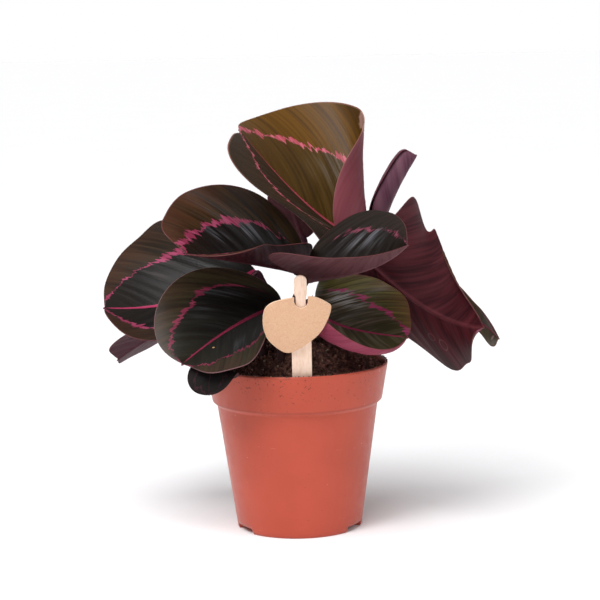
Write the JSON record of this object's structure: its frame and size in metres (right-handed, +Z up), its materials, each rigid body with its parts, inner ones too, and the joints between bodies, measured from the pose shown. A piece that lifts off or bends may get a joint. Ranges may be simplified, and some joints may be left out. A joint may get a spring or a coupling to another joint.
{
  "type": "potted calathea",
  "caption": "Potted calathea: broad painted leaves on slim stalks over dark soil in a tapered plastic nursery pot, with a wooden stick that carries a small bare tag.",
  "frame": {"origin": "middle of the pot's foot, on the surface that it stands on", "axes": "+Z up along the pot's axis, -Y the front, where the tag is, +X to the right as seen from the front"},
  "size_m": [0.1973, 0.1371, 0.2067],
  "materials": {
    "pot_plastic": "thin terracotta-coloured plastic with a soft sheen",
    "peat": "dark crumbly peat, no sheen",
    "stick_wood": "pale bare wood with a fine straight grain",
    "tag_board": "flecked kraft board with a pale cut edge",
    "leaf": "satin leaf, dark green with a broken pink band and a pink midrib above, maroon below",
    "leaf_young": "satin young leaf, olive with a broken pink band, plum below"
  },
  "bodies": {
    "root": {"pot": "pot_plastic", "soil": "peat", "label_stick": "stick_wood", "label_tag": "tag_board", "leaf_top": "leaf_young", "leaf_left_upper": "leaf", "leaf_left_mid": "leaf", "leaf_left_front": "leaf", "leaf_left_low": "leaf", "leaf_left_back": "leaf", "leaf_center_right": "leaf", "leaf_right_front": "leaf", "leaf_right_big": "leaf", "leaf_rolled": "leaf", "leaf_right_back": "leaf", "leaf_back_left": "leaf"}
  },
  "joints": []
}
